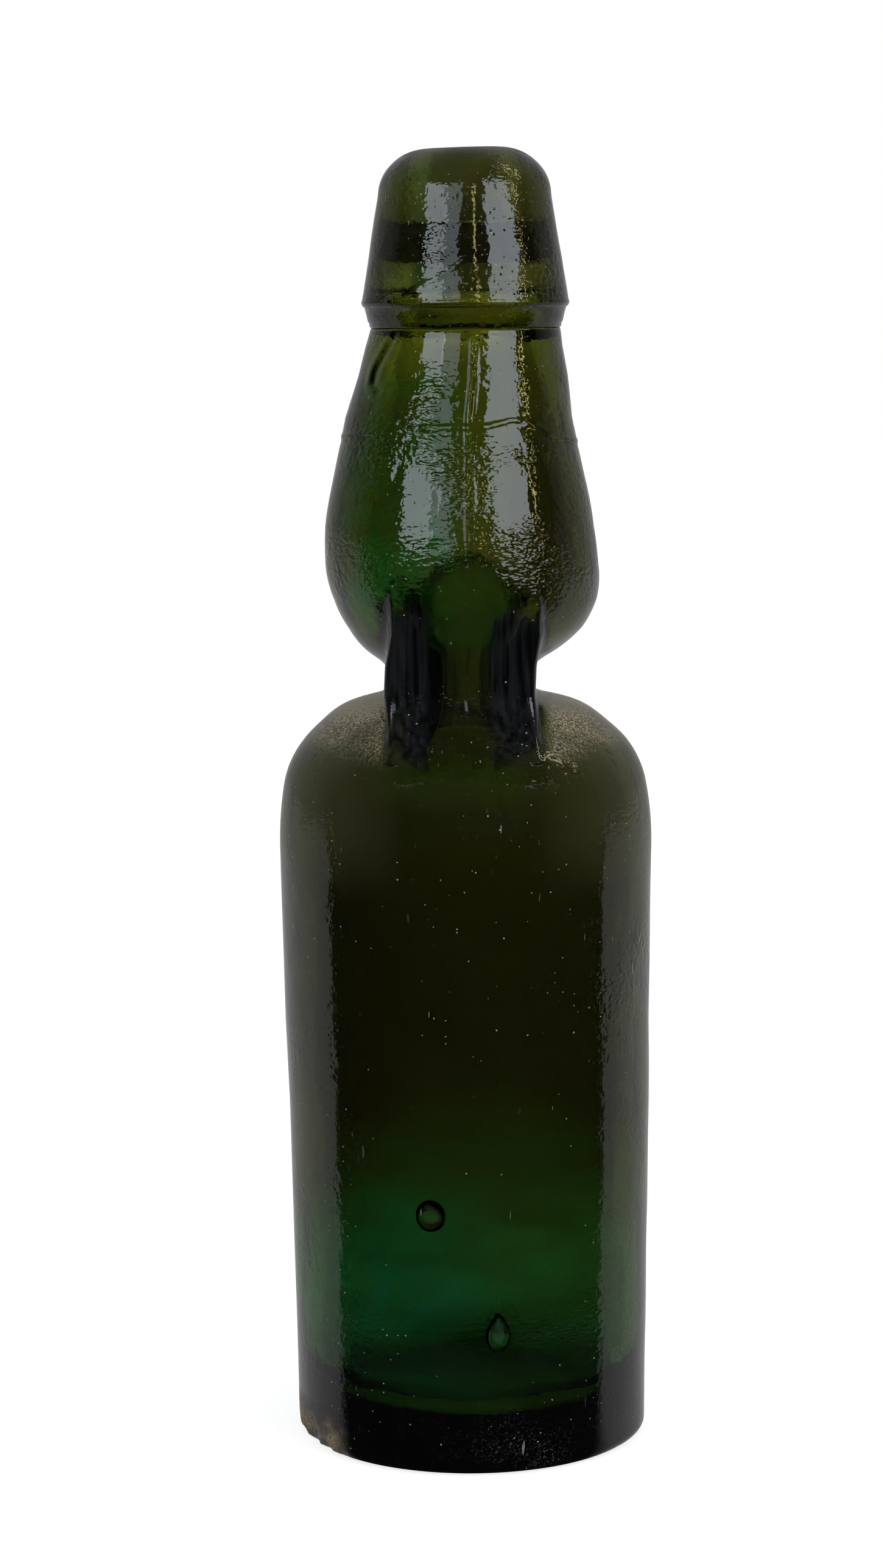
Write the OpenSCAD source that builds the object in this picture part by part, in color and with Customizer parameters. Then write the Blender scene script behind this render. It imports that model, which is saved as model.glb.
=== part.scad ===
// Marble stopper bottle: a blown bottle with a pinched neck and a marble chamber,
// an applied lip with a groove for a rubber ring, and a loose glass marble.
// Millimetres, +Z up. The origin is the centre of the base, on the plane it stands on.
// The pinch cuts into the neck from +X and -X.

/* [Body] */
// Height from the standing plane to the top of the lip
total_h = 228.6; // [228:0.1:230]
// Outer radius just above the heel
base_r = 31.2; // [30.5:0.1:31.6]
// Largest outer radius, just below the shoulder
shoulder_r = 33; // [32.6:0.1:33.4]
// Height of the largest outer radius
shoulder_z = 107; // [104:0.5:109]
// Thickness of the glass in the body wall
wall = 5; // [4:0.1:5.4]
// Thickness of the glass at the middle of the base
base_t = 8.5; // [7:0.1:9]
// Depth of the hollow under the base
kick_h = 2; // [1:0.1:3]
// Outer radius of the hollow under the base
kick_r = 24.5; // [20:0.1:26]

/* [Neck] */
// Half of the width of the pinched neck, from flat face to flat face
neck_half_w = 13; // [12.5:0.1:13.4]
// Radius of the hollow curve that runs from the shoulder up into the chamber, front and back
waist_curve = 18.3; // [17:0.1:20]
// Half of the width of the throat at its narrowest
throat_half_w = 4.5; // [4:0.1:5]
// Height of the narrowest part of the throat
throat_z = 135.5; // [135:0.1:136]
// Radius of each bulge that narrows the throat
throat_curve = 14; // [13.5:0.1:14.5]

/* [Marble chamber] */
// Largest outer radius of the chamber
chamber_r = 24; // [23.6:0.1:24.4]
// Height of the largest outer radius
chamber_z = 155.5; // [155:0.1:156]
// Radius of the chamber's round underside
under_curve = 18; // [17.6:0.1:18.4]
// Angle of the chamber's cone from the upright
cone_deg = 12; // [11.5:0.1:12.5]

/* [Lip] */
// Outer radius of the lip's lower edge
lip_r = 18.1; // [17.8:0.1:18.4]
// Height of the lip's lower edge
lip_z = 201.5; // [201:0.1:202]
// Outer radius where the lip's top starts to round
lip_top_r = 15; // [14.8:0.1:15.2]
// Radius of the round top of the lip
lip_curve = 8.3; // [8:0.1:8.5]
// Radius of the mouth
mouth_r = 6.6; // [6.4:0.1:6.8]
// Radius of the mouth's worn edge
mouth_edge = 0.8; // [0.5:0.1:1]

/* [Rubber ring] */
// Outer radius of the rubber ring
ring_out_r = 10.3; // [10:0.1:10.6]
// Inner radius of the rubber ring
ring_in_r = 6.3; // [6:0.1:6.4]
// Height of the rubber ring
ring_h = 6.7; // [6:0.1:7]
// Height of the ring's underside above the standing plane
ring_z = 208.3; // [208:0.1:208.6]
// Radius of the ring's inner edges
ring_edge = 1.5; // [1:0.1:2]

/* [Marble] */
// Diameter of the marble
marble_d = 18; // [17.6:0.1:18.2]
// Gap that stays between the marble and the glass it rests on
rest_gap = 0.15; // [0.1:0.05:0.3]

/* [Hidden] */
$fn = 96;

glass_green = [0.16, 0.24, 0.07];
lip_green = [0.22, 0.29, 0.08];
rubber_black = [0.07, 0.07, 0.06];
marble_green = [0.33, 0.47, 0.30];

heel_r = 1.7;
kick_steps = 6;
floor_corner = 8;
cut_over = 1;

// The shoulder turns in three arcs, each tangent to the one before
shoulder_curve = 60;
shoulder_curve_deg = 10;
turn_curve = 16.5;
turn_end_deg = 58;
crown_curve = 40;
crown_end_deg = 75;

// The outside of the chamber turns from its round underside into a straight cone
under_start_deg = -68;
blend_curve = 65;
neck_top_z = 203.5;
neck_top_r = 13.6;
skirt_z = 197.4;
groove_r = 16.75;
groove_h = 1.2;
groove_step = 0.3;

// The straight passage from the chamber up to the rubber ring
passage_r = 9.5;
passage_z = 199.5;
inner_under_deg = -52;
slot_wall = 3;

chamber_under = [chamber_r - under_curve, chamber_z];
chamber_blend = [chamber_r - blend_curve, chamber_z];
cone_start_z = chamber_z + blend_curve * sin(cone_deg);
cone_start_r = chamber_r - blend_curve * (1 - cos(cone_deg));

function cone_r(z) = cone_start_r - (z - cone_start_z) * tan(cone_deg);

throat_x = throat_half_w + throat_curve;
marble_r = marble_d / 2;
marble_rest_z = throat_z + rest_gap
    + sqrt(pow(throat_curve + marble_r, 2) - pow(throat_x, 2));

mouth_crest_r = mouth_r + mouth_edge;
lip_round = [lip_top_r - lip_curve, total_h - lip_curve];
crest_drop = lip_curve - sqrt(pow(lip_curve, 2) - pow(mouth_crest_r - lip_round[0], 2));
mouth_edge_z = total_h - crest_drop - mouth_edge;
ring_top_z = ring_z + ring_h;

// Points along an arc, counted from angle a0 to angle a1
function arc(c, r, a0, a1, steps) =
    [for (i = [0 : steps]) let (a = a0 + (a1 - a0) * i / steps) c + r * [cos(a), sin(a)]];

// Centre of the arc of radius r1 that carries on from an arc of centre c and radius r0 at angle a
function next_centre(c, r0, r1, a) = c + (r0 - r1) * [cos(a), sin(a)];

shoulder_c = [shoulder_r - shoulder_curve, shoulder_z];
turn_c = next_centre(shoulder_c, shoulder_curve, turn_curve, shoulder_curve_deg);
crown_c = next_centre(turn_c, turn_curve, crown_curve, turn_end_deg);

// Centre of the waist's hollow curve, which touches the chamber's underside and the shoulder's turn
waist_span = turn_c - chamber_under;
waist_up = under_curve + waist_curve;
waist_along = (pow(waist_up, 2) - pow(turn_curve + waist_curve, 2) + pow(norm(waist_span), 2))
    / (2 * norm(waist_span));
waist_across = sqrt(pow(waist_up, 2) - pow(waist_along, 2));
waist_dir = waist_span / norm(waist_span);
waist_c = chamber_under + waist_along * waist_dir + waist_across * [-waist_dir[1], waist_dir[0]];
waist_low_deg = atan2(turn_c[1] - waist_c[1], turn_c[0] - waist_c[0]);
waist_high_deg = atan2(chamber_under[1] - waist_c[1], chamber_under[0] - waist_c[0]);
waist_root = 3;

// Half of the body's section, inset by t to give the inside of the wall
function shoulder_points(t) = concat(
    arc(shoulder_c, shoulder_curve - t, 0, shoulder_curve_deg, 4),
    arc(turn_c, turn_curve - t, shoulder_curve_deg, turn_end_deg, 10),
    arc(crown_c, crown_curve - t, turn_end_deg, crown_end_deg, 6)
);

// Half of the chamber's section below the cone, inset by t
function chamber_points(t, start_deg) = concat(
    arc(chamber_under, under_curve - t, start_deg, 0, 12),
    arc(chamber_blend, blend_curve - t, 0, cone_deg, 4)
);

module body_outside() {
    rotate_extrude()
        polygon(concat(
            [[0, 0]],
            [[base_r - heel_r, 0]],
            arc([base_r - heel_r, heel_r], heel_r, -90, 0, 4),
            shoulder_points(0),
            [[0, crown_c[1] + crown_curve]]
        ));
}

module base_hollow() {
    dome_r = (kick_r * kick_r + kick_h * kick_h) / (2 * kick_h);
    edge_deg = asin(kick_r / dome_r);
    rotate_extrude()
        polygon(concat(
            [[0, -cut_over], [kick_r, -cut_over]],
            arc([0, kick_h - dome_r], dome_r, 90 - edge_deg, 90, kick_steps)
        ));
}

module body_inside() {
    inside_r = base_r - wall;
    rotate_extrude()
        polygon(concat(
            [[0, base_t]],
            arc([inside_r - floor_corner, base_t + floor_corner], floor_corner, -90, 0, 8),
            shoulder_points(wall),
            [[0, crown_c[1] + crown_curve - wall]]
        ));
}

// A round column with a waist, inset by t, whose ends are rooted in the chamber and the shoulder
module waisted(t) {
    side = arc(waist_c, waist_curve + t, waist_low_deg + 360, waist_high_deg, 12);
    low = side[0];
    high = side[12];
    rotate_extrude()
        polygon(concat(
            [[0, low[1] - waist_root], [low[0] - waist_root, low[1] - waist_root]],
            side,
            [[high[0] - waist_root, high[1] + waist_root], [0, high[1] + waist_root]]
        ));
}

module neck_outside() {
    intersection() {
        waisted(0);
        translate([-neck_half_w, -shoulder_r, 0])
            cube([2 * neck_half_w, 2 * shoulder_r, total_h]);
    }
}

module chamber_outside() {
    rotate_extrude()
        polygon(concat(
            [[0, chamber_points(0, under_start_deg)[0][1]]],
            chamber_points(0, under_start_deg),
            [[cone_r(skirt_z), skirt_z], [neck_top_r, skirt_z], [neck_top_r, neck_top_z], [0, neck_top_z]]
        ));
}

module chamber_inside() {
    rotate_extrude()
        polygon(concat(
            [[0, chamber_points(wall, inner_under_deg)[0][1]]],
            chamber_points(wall, inner_under_deg),
            [[passage_r, passage_z], [passage_r, neck_top_z + cut_over], [0, neck_top_z + cut_over]]
        ));
}

// The throat is a slot through the neck, as wide as the neck in Y and narrowed by two bulges in X
module throat() {
    slot_x = neck_half_w - slot_wall;
    intersection() {
        waisted(wall);
        difference() {
            translate([-slot_x, -shoulder_r, 0])
                cube([2 * slot_x, 2 * shoulder_r, total_h]);
            for (side = [-1, 1])
                translate([side * throat_x, 0, throat_z])
                    rotate([90, 0, 0])
                        cylinder(h = 2 * shoulder_r, r = throat_curve, center = true);
        }
    }
}

module bottle_body() {
    color(glass_green)
        difference() {
            union() {
                body_outside();
                neck_outside();
                chamber_outside();
            }
            base_hollow();
            body_inside();
            throat();
            chamber_inside();
        }
}

// Half of the lip's section before the neck, the passage and the ring's groove are cut from it
module lip_section() {
    polygon([
        [mouth_r, skirt_z],
        [groove_r, skirt_z],
        [groove_r + groove_step, skirt_z + groove_h],
        [lip_r, lip_z],
        [lip_top_r, lip_round[1]],
        [mouth_crest_r, lip_round[1]],
        [mouth_crest_r, mouth_edge_z],
        [mouth_r, mouth_edge_z]
    ]);
    translate([mouth_crest_r, mouth_edge_z])
        circle(r = mouth_edge);
    intersection() {
        translate(lip_round)
            circle(r = lip_curve);
        translate([mouth_crest_r, lip_round[1]])
            square([lip_curve, lip_curve]);
    }
}

module lip_collar() {
    color(lip_green)
        rotate_extrude()
            difference() {
                lip_section();
                translate([0, skirt_z - cut_over])
                    square([neck_top_r, neck_top_z - skirt_z + cut_over]);
                translate([0, skirt_z - cut_over])
                    square([passage_r, ring_z - skirt_z + cut_over]);
                translate([0, ring_z])
                    square([ring_out_r, ring_h]);
            }
}

module rubber_ring() {
    color(rubber_black)
        rotate_extrude() {
            translate([ring_in_r + ring_edge, ring_z])
                square([ring_out_r - ring_in_r - ring_edge, ring_h]);
            translate([ring_in_r, ring_z + ring_edge])
                square([ring_edge, ring_h - 2 * ring_edge]);
            for (z = [ring_z + ring_edge, ring_top_z - ring_edge])
                translate([ring_in_r + ring_edge, z])
                    circle(r = ring_edge);
        }
}

module marble() {
    color(marble_green)
        translate([0, 0, marble_rest_z])
            sphere(r = marble_r);
}

bottle_body();
lip_collar();
rubber_ring();
marble();
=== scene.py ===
# %% [markdown]
# # A bottle that a marble closes
#
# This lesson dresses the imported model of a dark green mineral-water bottle. The bottle is blown glass. Its
# neck is pinched flat from two sides, a glass marble lies loose in the pear-shaped chamber above the pinch,
# and a rubber ring sits inside the thick lip. Gas pushes the marble up against the ring, and that seals it.
#
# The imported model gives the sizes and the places. Blender adds what a plain solid can't show: glass that
# eats light as it gets thicker, ripples, mould seams, bubbles, chips, dust and scratches.

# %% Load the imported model
import math
import random

import bmesh
import bpy
import numpy as np
from mathutils import Matrix, Vector, noise


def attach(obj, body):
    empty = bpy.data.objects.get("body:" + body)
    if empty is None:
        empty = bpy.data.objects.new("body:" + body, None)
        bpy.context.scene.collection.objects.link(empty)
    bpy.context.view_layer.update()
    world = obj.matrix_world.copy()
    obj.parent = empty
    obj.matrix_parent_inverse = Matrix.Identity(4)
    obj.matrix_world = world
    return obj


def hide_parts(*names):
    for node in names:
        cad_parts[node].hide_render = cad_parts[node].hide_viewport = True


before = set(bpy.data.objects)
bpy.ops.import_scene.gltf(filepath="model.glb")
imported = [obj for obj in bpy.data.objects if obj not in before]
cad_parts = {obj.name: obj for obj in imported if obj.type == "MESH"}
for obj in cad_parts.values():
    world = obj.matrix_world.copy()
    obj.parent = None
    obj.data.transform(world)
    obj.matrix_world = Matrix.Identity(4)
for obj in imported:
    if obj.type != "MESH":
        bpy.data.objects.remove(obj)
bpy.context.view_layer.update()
MM = 0.001

# %% [markdown]
# ## Finding the outline again
#
# Glass has to be one closed wall with an outside and an inside, so that light can enter it, lose strength
# in it and leave it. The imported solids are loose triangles, which can't be rippled. So the bottle is lathed
# again from the same centres and radii. A profile in millimetres, as a list of radius and height, is the
# simplest way to hold such an outline, and a small helper makes its arcs.

# %% Sizes of the blown body, in millimetres
BASE_RADIUS, SHOULDER_RADIUS, SHOULDER_Z = 31.2, 33.0, 107.0
WALL, FLOOR_THICKNESS, FLOOR_CORNER = 5.0, 8.5, 8.0
KICK_HEIGHT, KICK_RADIUS, HEEL_RADIUS = 2.0, 24.5, 1.7
SHOULDER_ARC = ((-27.0, 107.0), 60.0)
TURN_ARC = ((15.84, 114.55), 16.5)
CROWN_ARC = ((3.39, 94.62), 40.0)
WAIST_ARC = ((39.04, 140.47), 18.3)
BULB_ARC = ((6.0, 155.5), 18.0)
BLEND_ARC = ((-41.0, 155.5), 65.0)
TURN_END, CROWN_END, CONE_TILT = math.radians(10), math.radians(58), math.radians(12)
PINCH_HALF_WIDTH, PINCH_LOW, PINCH_HIGH = 13.0, 124.0, 156.0
FACE_DEPTH, FACE_FLARE, FACE_Z = 20.6, 0.022, 140.5
THROAT_HALF_WIDTH, THROAT_FLARE, THROAT_Z = 4.5, 0.022, 135.5
WAIST_LOW, WAIST_HIGH = 123.1, 150.1
MARBLE_RADIUS, MARBLE_Z = 9.0, 149.32
SEAT_RADIUS, SEAT_LOW, SEAT_HIGH = 9.35, 140.0, 149.3
SKIRT_Z, NECK_TOP_Z, NECK_TOP_RADIUS = 197.4, 203.5, 13.6
PASSAGE_RADIUS, PASSAGE_Z = 9.5, 199.5


def arc(centre, radius, start, end, steps):
    """Points of an arc in the (radius, height) plane, angles in degrees from the radius axis."""
    turn = np.radians(np.linspace(start, end, steps + 1))
    return [(centre[0] + radius * math.cos(a), centre[1] + radius * math.sin(a)) for a in turn]


def circle_side(z, circle, inset=0.0, side=1):
    """How far from the axis a circle's outer side (or its inner side, with side=-1) is at height z."""
    (r, height), radius = circle
    reach = np.sqrt(np.clip((radius - inset * side) ** 2 - (z - height) ** 2, 0, None))
    return np.where(reach > 0, r + side * reach, 0.0)


print("waist radius: %.2f mm" % (WAIST_ARC[0][0] - WAIST_ARC[1]))

# %% [markdown]
# ## How the pinched neck is shaped
#
# The maker nips the soft neck with a tool, so two sides go flat, and the front and back flatten a little as
# well. Seen from above, the neck at each height is a box with round corners. A helper gives the wall's
# radius for a height and an angle: the largest of the body below, the chamber above, and the neck after the
# flats have cut it. A smooth minimum and maximum round the edges as soft glass does. Cutting the flats off
# with a boolean would leave hard edges and long thin faces, which show at once in clear reflections.

# %% Radius of the wall for a height and an angle
def smooth_max(a, b, k):
    h = np.clip(0.5 + 0.5 * (a - b) / k, 0, 1)
    return b + (a - b) * h + k * h * (1 - h)


def smooth_min(a, b, k):
    return -smooth_max(-a, -b, k)


def body_side(z, inset):
    wall = BASE_RADIUS + (SHOULDER_RADIUS - BASE_RADIUS) * z / SHOULDER_Z - inset
    shoulder = circle_side(z, SHOULDER_ARC, inset)
    turn = circle_side(z, TURN_ARC, inset)
    crown = circle_side(z, CROWN_ARC, inset)
    turn_z = TURN_ARC[0][1] + (TURN_ARC[1] - inset) * math.sin(TURN_END)
    crown_z = CROWN_ARC[0][1] + (CROWN_ARC[1] - inset) * math.sin(CROWN_END)
    return np.select([z < SHOULDER_Z, z < turn_z, z < crown_z], [wall, shoulder, turn], crown)


def chamber_side(z, inset):
    bulb = circle_side(z, BULB_ARC, inset)
    blend = circle_side(z, BLEND_ARC, inset)
    cone_z = BLEND_ARC[0][1] + (BLEND_ARC[1] - inset) * math.sin(CONE_TILT)
    cone_r = BLEND_ARC[0][0] + (BLEND_ARC[1] - inset) * math.cos(CONE_TILT)
    cone = cone_r - (z - cone_z) * math.tan(CONE_TILT)
    return np.select([z < BULB_ARC[0][1], z < cone_z], [bulb, blend], cone)


def outer_side(z, angle):
    """Outside of the glass. The flats are at angle 0 and 180 degrees, the round front at -90."""
    across = max(abs(math.cos(angle)), 1e-3)
    deep = max(abs(math.sin(angle)), 1e-3)
    face = (FACE_DEPTH + FACE_FLARE * np.clip(FACE_Z - z, 0, None) ** 2) / deep
    neck = smooth_min(face, PINCH_HALF_WIDTH / across, 2.2)
    neck = np.where((z > PINCH_LOW) & (z < PINCH_HIGH), neck, 0)
    foot_blend = 1.2 + 1.3 * across ** 2
    top_blend = (2.6 - 0.1 * across ** 2) * np.clip((PINCH_HIGH - 1 - z) / 9, 0.05, 1)
    return smooth_max(smooth_max(neck, body_side(z, 0), foot_blend), chamber_side(z, 0), top_blend)


def inner_side(z, angle):
    """Inside of the glass: two flat bulges leave a slot, and above it a seat fits round the marble."""
    across = max(abs(math.cos(angle)), 1e-3)
    waist = np.where((z > WAIST_LOW) & (z < WAIST_HIGH), circle_side(z, WAIST_ARC, WALL, -1), 0)
    slot = THROAT_HALF_WIDTH + THROAT_FLARE * (z - THROAT_Z) ** 2 * np.where(z > THROAT_Z, 0.3, 1.0)
    seat = circle_side(z, ((0, MARBLE_Z), SEAT_RADIUS))
    open_top = SEAT_RADIUS + (z - SEAT_HIGH) * 2
    bulge = np.select([z >= SEAT_HIGH, z > SEAT_LOW], [open_top, np.maximum(slot, seat)], slot)
    throat = smooth_min(waist, bulge / across, 1.5)
    return smooth_max(smooth_max(throat, body_side(z, WALL), 0.8), chamber_side(z, WALL), 0.8)


z = np.array([THROAT_Z])
print("neck at the pinch: %.2f wide, %.2f deep" % (outer_side(z, 0)[0], outer_side(z, math.pi / 2)[0]))

# %% [markdown]
# ## Rows and columns
#
# The wall is a grid: rows run round the bottle and columns run up it. Rows in the plain zones stay level.
# In the neck each column has its own outline, so its rows are spread evenly along that outline. Columns
# are set closer at the mould seams, where a thin ridge has to fit, by adding up a density and reading it
# back.

# %% Spread the rows and the columns
COLUMNS = 256
NECK_FROM, NECK_TO = 118.0, 157.0
NECK_ROWS, THROAT_ROWS = 92, 40


def neck_rows(side, angle, low, high, count):
    """Points from low to high, evenly spread along one column's own outline."""
    z = np.linspace(low, high, 900)
    r = side(z, angle)
    run = np.concatenate([[0], np.cumsum(np.hypot(np.diff(r), np.diff(z)))])
    at = np.linspace(0, run[-1], count)
    return np.stack([np.interp(at, run, r), np.interp(at, run, z)], axis=1)


def column_angles(count):
    fine = np.linspace(-math.pi, math.pi, 7201)
    density = np.ones_like(fine)
    for seam in (-math.pi / 2, math.pi / 2):
        density += 2.2 * np.exp(-(((fine - seam) / 0.06) ** 2))
    total = np.concatenate([[0], np.cumsum((density[1:] + density[:-1]) / 2)])
    return np.interp(np.linspace(0, total[-1], count + 1)[:-1], total, fine)


angles = column_angles(COLUMNS)
print("columns:", COLUMNS, "closest pair: %.2f degrees" % math.degrees(np.diff(angles).min()))

# %% The closed profile: up the outside, over the top, down the inside
def zone_points(side, inset, *stretches):
    """Points of a round zone. A stretch is its first height, its last height and its number of points."""
    heights = np.concatenate([np.linspace(*stretch) for stretch in stretches])
    return list(zip(side(heights, inset), heights))


def level_rows(points):
    return np.repeat(np.array(points)[:, None], COLUMNS, 1)


def neck_zone(side, low, high, count):
    return np.stack([neck_rows(side, a, low, high, count) for a in angles], axis=1)


underside = [(r, KICK_HEIGHT * (1 - (r / KICK_RADIUS) ** 2)) for r in (0, 4, 8, 12, 16, 19, 22, KICK_RADIUS)]
heel = arc((BASE_RADIUS - HEEL_RADIUS, HEEL_RADIUS), HEEL_RADIUS, -90, 2, 7)
outside_low = underside + [(27, 0)] + heel + zone_points(body_side, 0, (3, 10, 9), (11.4, NECK_FROM - 1, 72))
outside_high = zone_points(chamber_side, 0, (NECK_TO + 1, 176, 16), (176.6, 185.4, 26),
                           (186.1, SKIRT_Z - 0.4, 17))
neck_end = [(16.5, SKIRT_Z), (15.9, SKIRT_Z + 0.05), (NECK_TOP_RADIUS, SKIRT_Z + 0.05),
            (NECK_TOP_RADIUS, NECK_TOP_Z - 0.4), (NECK_TOP_RADIUS - 0.4, NECK_TOP_Z),
            (PASSAGE_RADIUS + 0.3, NECK_TOP_Z), (PASSAGE_RADIUS, NECK_TOP_Z - 0.3),
            (PASSAGE_RADIUS, PASSAGE_Z + 0.6), (PASSAGE_RADIUS + 0.4, PASSAGE_Z - 0.6)]
inside_high = zone_points(chamber_side, WALL, (SKIRT_Z - 1.6, NECK_TO + 1, 24))
corner = (BASE_RADIUS + 0.18 - WALL - FLOOR_CORNER, FLOOR_THICKNESS + FLOOR_CORNER)
inside_low = zone_points(body_side, WALL, (NECK_FROM - 3, 18, 30)) + arc(corner, FLOOR_CORNER, -2, -90, 8)
inside_low += [(13, FLOOR_THICKNESS), (6.5, FLOOR_THICKNESS), (0, FLOOR_THICKNESS)]
grid = np.concatenate([level_rows(outside_low), neck_zone(outer_side, NECK_FROM, NECK_TO, NECK_ROWS),
                       level_rows(outside_high + neck_end + inside_high),
                       neck_zone(inner_side, NECK_TO, NECK_FROM - 2, THROAT_ROWS), level_rows(inside_low)])
OUTER_ROWS = len(outside_low) + NECK_ROWS + len(outside_high)
print("rows:", len(grid), "of them outside:", OUTER_ROWS)

# %% [markdown]
# ## Spinning the wall
#
# One column of the grid becomes a line of vertices with its row number kept in a layer. A full spin turns
# the line into the wall, and then each vertex is set on its own place in the grid.

# %% Spin one column into the wall of the bottle
def spin_profile(profile, columns, closed=False):
    """Spins a (radius, height) profile round the axis. Each vertex keeps its row number."""
    bm = bmesh.new()
    row = bm.verts.layers.int.new("row")
    line = []
    for k, (r, z) in enumerate(profile):
        v = bm.verts.new((r * MM, 0, z * MM))
        v[row] = k
        line.append(v)
    pairs = list(zip(line, line[1:])) + ([(line[-1], line[0])] if closed else [])
    edges = [bm.edges.new(pair) for pair in pairs]
    bmesh.ops.spin(bm, geom=line + edges, axis=(0, 0, 1), cent=(0, 0, 0), angle=math.tau,
                   steps=columns, use_merge=True)
    bmesh.ops.remove_doubles(bm, verts=bm.verts, dist=1e-7)
    bmesh.ops.recalc_face_normals(bm, faces=bm.faces)
    return bm, row


def linked_object(bm, name):
    """Turns a bmesh into a named object of the scene."""
    mesh = bpy.data.meshes.new(name)
    bm.to_mesh(mesh)
    bm.free()
    thing = bpy.data.objects.new(name, mesh)
    bpy.context.scene.collection.objects.link(thing)
    return thing


def finish_piece(bm, name, body):
    """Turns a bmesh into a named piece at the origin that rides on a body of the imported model."""
    piece = linked_object(bm, name)
    faces = piece.data.polygons
    faces.foreach_set("use_smooth", [True] * len(faces))
    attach(piece, body)
    print("%s: %d triangles" % (name, sum(len(face.vertices) - 2 for face in faces)))
    return piece


body_bm, row_layer = spin_profile(grid[:, 0], COLUMNS)
step = math.tau / COLUMNS
for v in body_bm.verts:
    if v.co.x ** 2 + v.co.y ** 2 < 1e-12:
        continue
    column = int(round(math.atan2(v.co.y, v.co.x) / step)) % COLUMNS
    r, z = grid[v[row_layer], column]
    a = angles[column]
    v.co = (r * math.cos(a) * MM, r * math.sin(a) * MM, z * MM)
body_bm.normal_update()
print("volume of the glass: %.1f ml" % (body_bm.calc_volume() * 1e6))

# %% [markdown]
# ## What blowing and moulding leave in the glass
#
# The chilled iron mould leaves an orange-peel skin, the joint of its halves leaves a thin ridge at the
# front and at the back, and the blown inside is wavier than the outside. The bottle also isn't true: its
# chamber leans to one side. All of this is real shape, so it goes into the mesh: the lean as a move to the
# side, and the rest as small moves along each vertex's normal. Noise from mathutils always gives the same
# values, so the bottle is always the same.

# %% Lean of the bottle and the skin of the glass
LEAN = np.array([(0, -0.1), (60, -0.2), (75, -0.5), (125, -0.6), (131, -1.0), (135, -1.45), (140, -1.2),
                 (145, -0.3), (150, -0.3), (156, -0.9), (163, -1.3), (182, -1.3), (189, -0.5), (197, -0.15),
                 (230, 0.0)])
SEAM_TOP, MOULD_RING_FROM, FOLDS_FROM = 196, 170, 183
FOOT_BEAD, FOOT_BEAD_Z = 0.7, 130.5


def clamped(value, low=0.0):
    return min(1.0, max(low, value))


def hill(distance, width):
    """A smooth hump, 1 at its middle."""
    return math.exp(-((distance / width) ** 2))


def lean_at(z):
    return float(np.interp(z, LEAN[:, 0], LEAN[:, 1]))


def skin(p):
    """Height of the outer skin in millimetres at a point p (millimetres)."""
    bulb = clamped((p.z - 140) / 15)
    peel = (0.008 + 0.016 * bulb) * (noise.noise(p * 0.34) + noise.noise(p * 0.8 + Vector((7, 3, 1))))
    streak = 0.010 * noise.noise(Vector((p.x * 0.45, p.y * 0.45, p.z * 0.035)))
    uneven = 0.05 + 0.10 * clamped((p.x - 5) / 15)
    swell = uneven * noise.noise(p * 0.07 + Vector((3, 9, 2)))
    return peel + streak + swell


def seam_ridge(p):
    """Ridge where the mould's halves meet: a double line at the front and the back."""
    if p.z >= SEAM_TOP:
        return 0.0
    wander = float(np.interp(p.z, [95, 125], [-0.9, 1.7])) + 0.12 * noise.noise(Vector((p.z * 0.05, 0, 4)))
    return (0.16 if p.z > 139 else 0.09) * hill(abs(p.x - wander) - 0.48, 0.21)


def mould_line(p):
    """Curved line across the chamber where the neck's own mould ring met the body's mould."""
    above = p.z - (180.8 + 2.0 * hill(p.x - 10.5, 4.5) - 0.006 * (p.x + 2) ** 2)
    return 0.15 * hill(above, 0.36) - 0.05 * hill(above + 0.95, 0.5)


def distance_to_path(p, path):
    """Distance of p from a path of (x, z) points, seen from the front, and how far along it is, 0 to 1."""
    best, where = 1e9, 0.0
    for k, ((ax, az), (bx, bz)) in enumerate(zip(path, path[1:])):
        dx, dz = bx - ax, bz - az
        t = clamped(((p.x - ax) * dx + (p.z - az) * dz) / (dx * dx + dz * dz))
        d = math.hypot(p.x - ax - t * dx, p.z - az - t * dz)
        if d < best:
            best, where = d, (k + t) / (len(path) - 1)
    return best, where


FOLD = [(-11.9, 197.5), (-12.1, 196.0), (-13.4, 193.2), (-15.0, 190.2), (-15.3, 188.2), (-14.3, 186.8)]
FLAP = [(-14.3, 186.8), (-11.5, 186.6), (-8.6, 188.2), (-7.4, 190.0)]


def lip_folds(p):
    """The wrinkle and the flap that the lip tool dragged into the neck under the lip, at the left."""
    if p.y > 0 or p.z < FOLDS_FROM or p.x > -4:
        return 0.0
    from_fold = distance_to_path(p, FOLD)[0]
    from_flap, along = distance_to_path(p, FLAP)
    wrinkle = 0.16 * hill(from_fold - 0.95, 0.45) - 0.26 * hill(from_fold, 0.42)
    dent = hill(from_flap, 0.5) * (1 - 0.6 * along) + hill(p.x + 11, 3.2) * hill(p.z - 189.5, 2.6)
    return wrinkle - 0.22 * dent


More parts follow.
